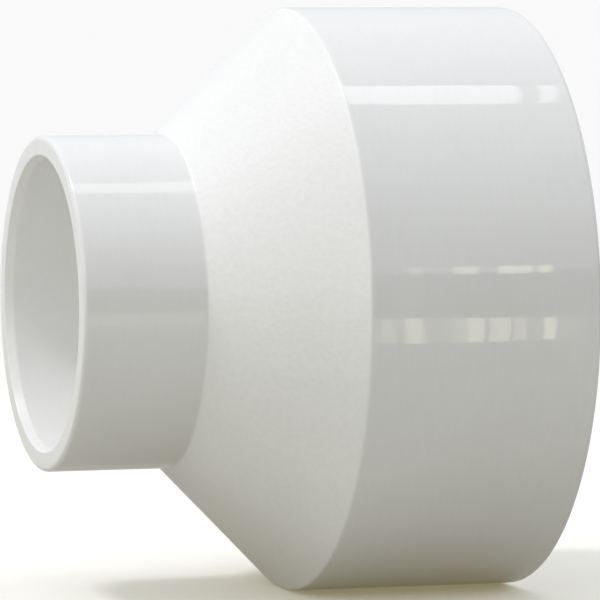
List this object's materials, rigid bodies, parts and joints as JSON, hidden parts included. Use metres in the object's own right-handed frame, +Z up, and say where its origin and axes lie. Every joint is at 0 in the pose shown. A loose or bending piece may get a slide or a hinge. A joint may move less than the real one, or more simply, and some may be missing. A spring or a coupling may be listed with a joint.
{
  "type": "pipe reducer",
  "caption": "Straight plastic pipe reducer with a large and a small cement socket joined by a cone on one axis.",
  "frame": {"origin": "centre of the large socket's floor, where the large pipe's end seats", "axes": "+X along the flow axis, from the small socket to the large one, out of the large mouth; +Z up, with the reducer lying on its large hub; it is round about X, so Y and Z are alike"},
  "size_m": [0.0818, 0.099, 0.099],
  "materials": {
    "white_pvc": "moulded white PVC, glossy on the hubs and softer on the cone"
  },
  "bodies": {
    "root": {"reducer_body": "white_pvc"}
  },
  "joints": []
}
